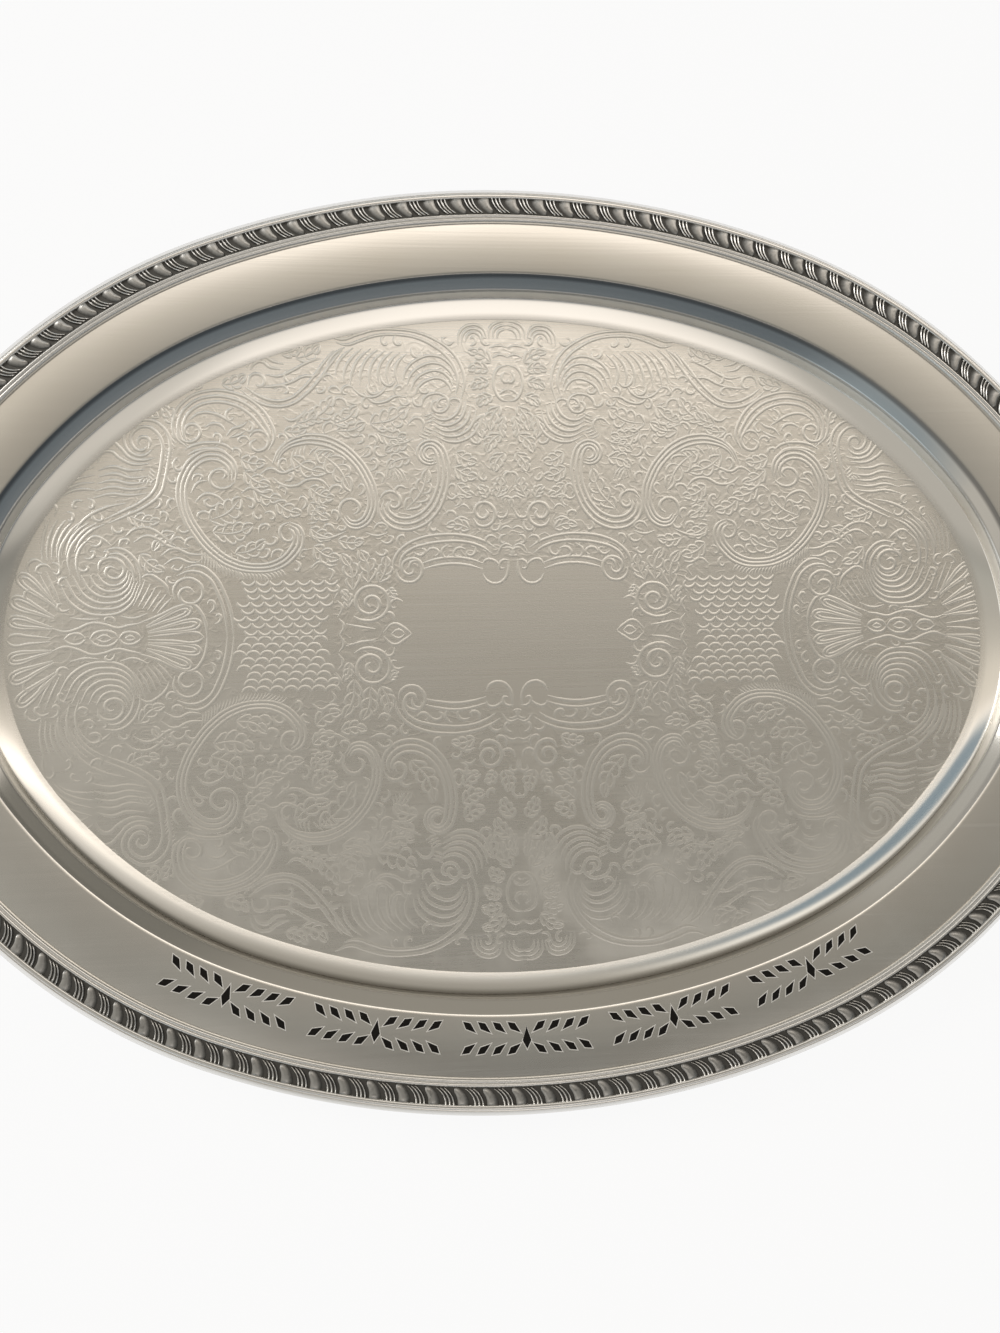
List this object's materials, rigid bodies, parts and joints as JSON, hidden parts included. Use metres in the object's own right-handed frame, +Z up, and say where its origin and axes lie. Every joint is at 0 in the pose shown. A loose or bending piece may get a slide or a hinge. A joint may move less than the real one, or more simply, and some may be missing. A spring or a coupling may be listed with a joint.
{
  "type": "oval serving tray",
  "caption": "Oval silver-plated serving tray for the Sabbath table: shallow well, stepped wall, flat rim with a black inlaid leaf band and a cast gadroon border.",
  "frame": {"origin": "middle of the underside of the floor, on the surface the tray stands on", "axes": "+X along the tray's length, +Y away from the inlaid front of the rim, +Z up"},
  "size_m": [0.4, 0.292, 0.0179],
  "materials": {
    "silver_plate": "silver-plated sheet: fine-brushed satin on floor and rim, polished wall and step",
    "cast_border": "silver-plated casting, polished on the high parts and dark in the hollows",
    "black_filling": "black cold enamel, satin"
  },
  "bodies": {
    "root": {"tray_body": "silver_plate", "border_back_right": "cast_border", "border_back_left": "cast_border", "border_front_left": "cast_border", "border_front_right": "cast_border", "inlay_far_left": "black_filling", "inlay_left": "black_filling", "inlay_centre": "black_filling", "inlay_right": "black_filling", "inlay_far_right": "black_filling"}
  },
  "joints": []
}
